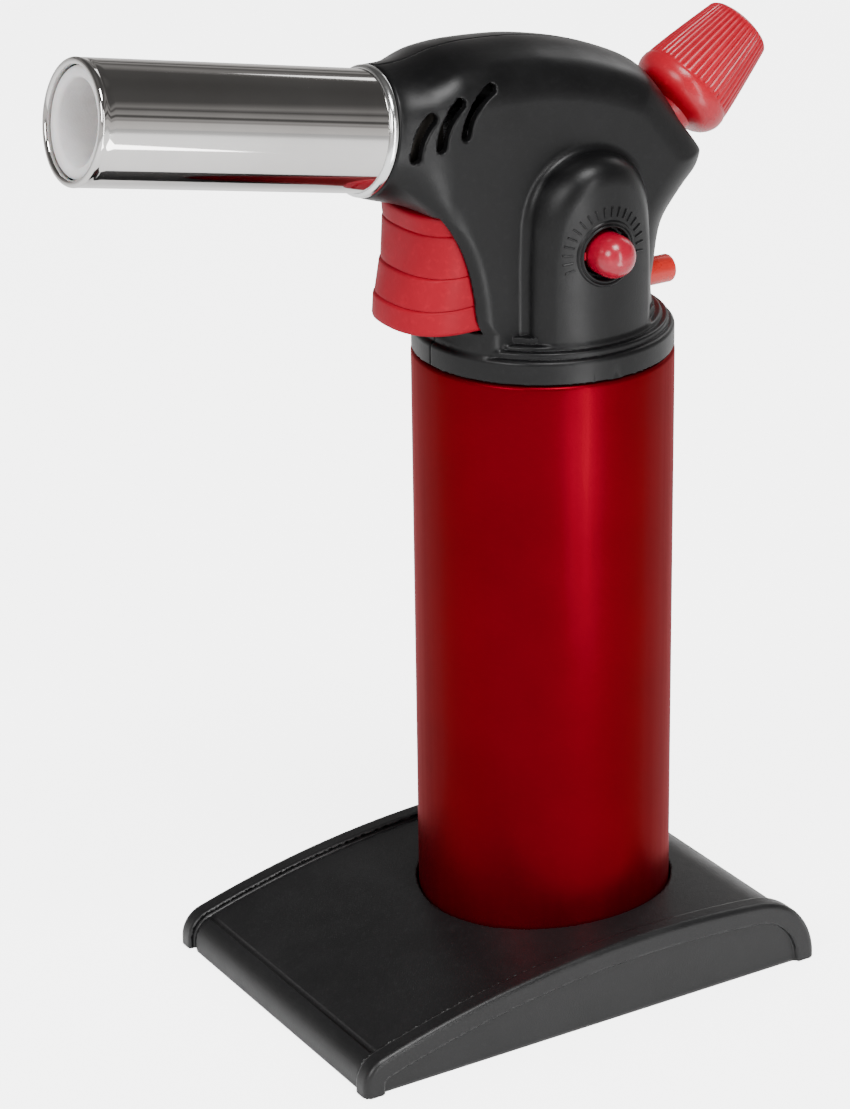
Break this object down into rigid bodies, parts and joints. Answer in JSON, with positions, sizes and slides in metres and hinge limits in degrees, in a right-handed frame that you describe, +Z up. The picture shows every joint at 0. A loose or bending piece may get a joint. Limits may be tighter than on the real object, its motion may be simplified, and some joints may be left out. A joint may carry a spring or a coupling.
{
  "type": "bench butane torch",
  "caption": "Bench butane torch on an arched stand, with a tilted chrome nozzle, ribbed trigger, gas knob and flame-lock button.",
  "frame": {"origin": "on the table, under the middle of the whole object's box", "axes": "+Z up; the nozzle points to -X; the flame-lock button is on the -Y side"},
  "size_m": [0.1486, 0.0754, 0.1998],
  "materials": {
    "stand_black": "moulded, fine satin grain",
    "tank_red": "deep candy red lacquer over metal, satin",
    "housing_black": "moulded, fine satin grain",
    "chrome": "polished",
    "trim_ring": "bright ring",
    "ceramic": "unglazed white ceramic",
    "trigger_red": "moulded, matte",
    "knob_red": "moulded, soft gloss",
    "button_red": "moulded, glossy",
    "brass": "turned brass",
    "steel": "plain steel",
    "spring_steel": "drawn wire",
    "seal_rubber": "moulded rubber",
    "felt": "pressed felt",
    "lead_insulation": "soft insulation",
    "frame_plastic": "moulded nylon"
  },
  "bodies": {
    "stand": {"stand": "stand_black"},
    "torch": {"tank_body": "tank_red", "tank_base": "steel", "refill_valve_body": "brass", "refill_valve_spring": "spring_steel", "refill_valve_seal": "seal_rubber", "main_valve_body": "brass", "main_valve_spring": "spring_steel", "main_valve_seal": "seal_rubber", "gas_filter": "felt", "housing_left": "housing_black", "housing_right": "housing_black", "housing_screw_1": "steel", "housing_screw_2": "steel", "housing_screw_3": "steel", "nozzle_tube": "chrome", "nozzle_ring": "trim_ring", "ceramic_cup": "ceramic", "burner_tube": "steel", "flame_holder": "brass", "gas_jet": "brass", "electrode": "steel", "electrode_insulator": "ceramic", "spindle_gland": "brass", "flow_valve_body": "brass", "supply_tube": "brass", "jet_tube": "brass", "ignition_lead": "lead_insulation", "inner_frame": "frame_plastic", "piezo_body": "frame_plastic", "trigger_spring": "spring_steel", "lever_pin": "steel", "lock_button_spring": "spring_steel", "rear_button_spring": "spring_steel"},
    "trigger": {"trigger": "trigger_red", "piezo_plunger": "steel"},
    "lever": {"gas_lever": "steel"},
    "valve_stem": {"main_valve_stem": "brass"},
    "refill_stem": {"refill_valve_stem": "brass"},
    "knob": {"gas_knob": "knob_red", "needle_spindle": "brass"},
    "lock": {"lock_button": "button_red", "lock_button_clip": "spring_steel"},
    "rear_push": {"rear_button": "button_red"}
  },
  "joints": [
    {"name": "torch_lift", "type": "slide", "parent": "stand", "child": "torch", "axis": [0, 0, 1], "range_m": [0, 0.03]},
    {"name": "trigger_press", "type": "slide", "parent": "torch", "child": "trigger", "axis": [1, 0, 0], "range_m": [0, 0.006], "stiffness_N_per_m": 1200, "springref_m": -0.004},
    {"name": "lever_turn", "type": "hinge", "parent": "torch", "child": "lever", "pos_m": [0.03585, 0, 0.1426], "axis": [0, 1, 0], "range_deg": [0, 6]},
    {"name": "stem_lift", "type": "slide", "parent": "torch", "child": "valve_stem", "axis": [0, 0, 1], "range_m": [0, 0.00115]},
    {"name": "refill_press", "type": "slide", "parent": "torch", "child": "refill_stem", "axis": [0, 0, 1], "range_m": [0, 0.0015], "stiffness_N_per_m": 800, "springref_m": -0.002},
    {"name": "knob_turn", "type": "hinge", "parent": "torch", "child": "knob", "pos_m": [0.05555, 0, 0.1727], "axis": [0.7793, 0, 0.6266], "range_deg": [0, 270]},
    {"name": "lock_press", "type": "slide", "parent": "torch", "child": "lock", "axis": [0, 1, 0], "range_m": [0, 0.003], "stiffness_N_per_m": 500, "springref_m": -0.002},
    {"name": "rear_press", "type": "slide", "parent": "torch", "child": "rear_push", "axis": [-1, 0, 0], "range_m": [0, 0.0025], "stiffness_N_per_m": 500, "springref_m": -0.002}
  ],
  "couplings": [
    {"joint": "lever_turn", "follows": "trigger_press", "rad_per_m": 17.45},
    {"joint": "stem_lift", "follows": "trigger_press", "ratio": 0.1916}
  ]
}
